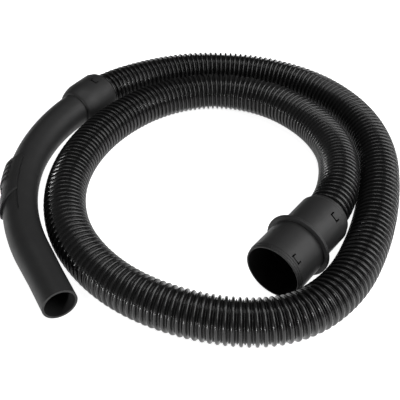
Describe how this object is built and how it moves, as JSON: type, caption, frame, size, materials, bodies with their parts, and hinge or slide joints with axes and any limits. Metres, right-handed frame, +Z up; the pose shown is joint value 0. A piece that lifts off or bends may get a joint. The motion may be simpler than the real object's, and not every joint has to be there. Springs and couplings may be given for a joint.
{
  "type": "vacuum cleaner hose",
  "caption": "Corrugated vacuum cleaner hose lying in a loose spiral, with a bent hand grip with air slider on one end and a flanged machine connector on the other, each on a swivel.",
  "frame": {"origin": "on the floor plane under the middle of the box round the two end fittings", "axes": "+Z up from the floor; +Y is the fittings' longest extent, from the grip's open end towards its cuff; +X towards the machine connector"},
  "size_m": [0.4185, 0.4648, 0.0658],
  "materials": {
    "hose_plastic": "semi-gloss black, corrugated",
    "fitting_plastic": "satin black, finely grained",
    "cuff_plastic": "satin black, finely grained",
    "bush_plastic": "satin black",
    "slider_plastic": "satin black with grip ridges",
    "seal_rubber": "matt black"
  },
  "bodies": {
    "hose_body": {"hose": "hose_plastic", "handle_bush": "bush_plastic", "connector_bush": "bush_plastic"},
    "handle": {"handle_tube": "fitting_plastic", "handle_cuff": "cuff_plastic", "handle_seal": "seal_rubber"},
    "slider": {"air_slider": "slider_plastic"},
    "connector": {"connector_sleeve": "fitting_plastic", "connector_plug": "fitting_plastic", "connector_seal": "seal_rubber"}
  },
  "joints": [
    {"name": "handle_swivel", "type": "hinge", "parent": "hose_body", "child": "handle", "pos_m": [-0.11209, 0.12283, 0.026], "axis": [-0.5523, -0.8337, 0], "continuous": true},
    {"name": "connector_swivel", "type": "hinge", "parent": "hose_body", "child": "connector", "pos_m": [0.12252, -0.11569, 0.03296], "axis": [0.618, 0.7854, 0.0354], "continuous": true},
    {"name": "air_slide", "type": "hinge", "parent": "handle", "child": "slider", "pos_m": [0.07607, -0.00183, 0.01438], "axis": [0.0429, -0.0284, 0.9987], "range_deg": [0, 4]}
  ]
}
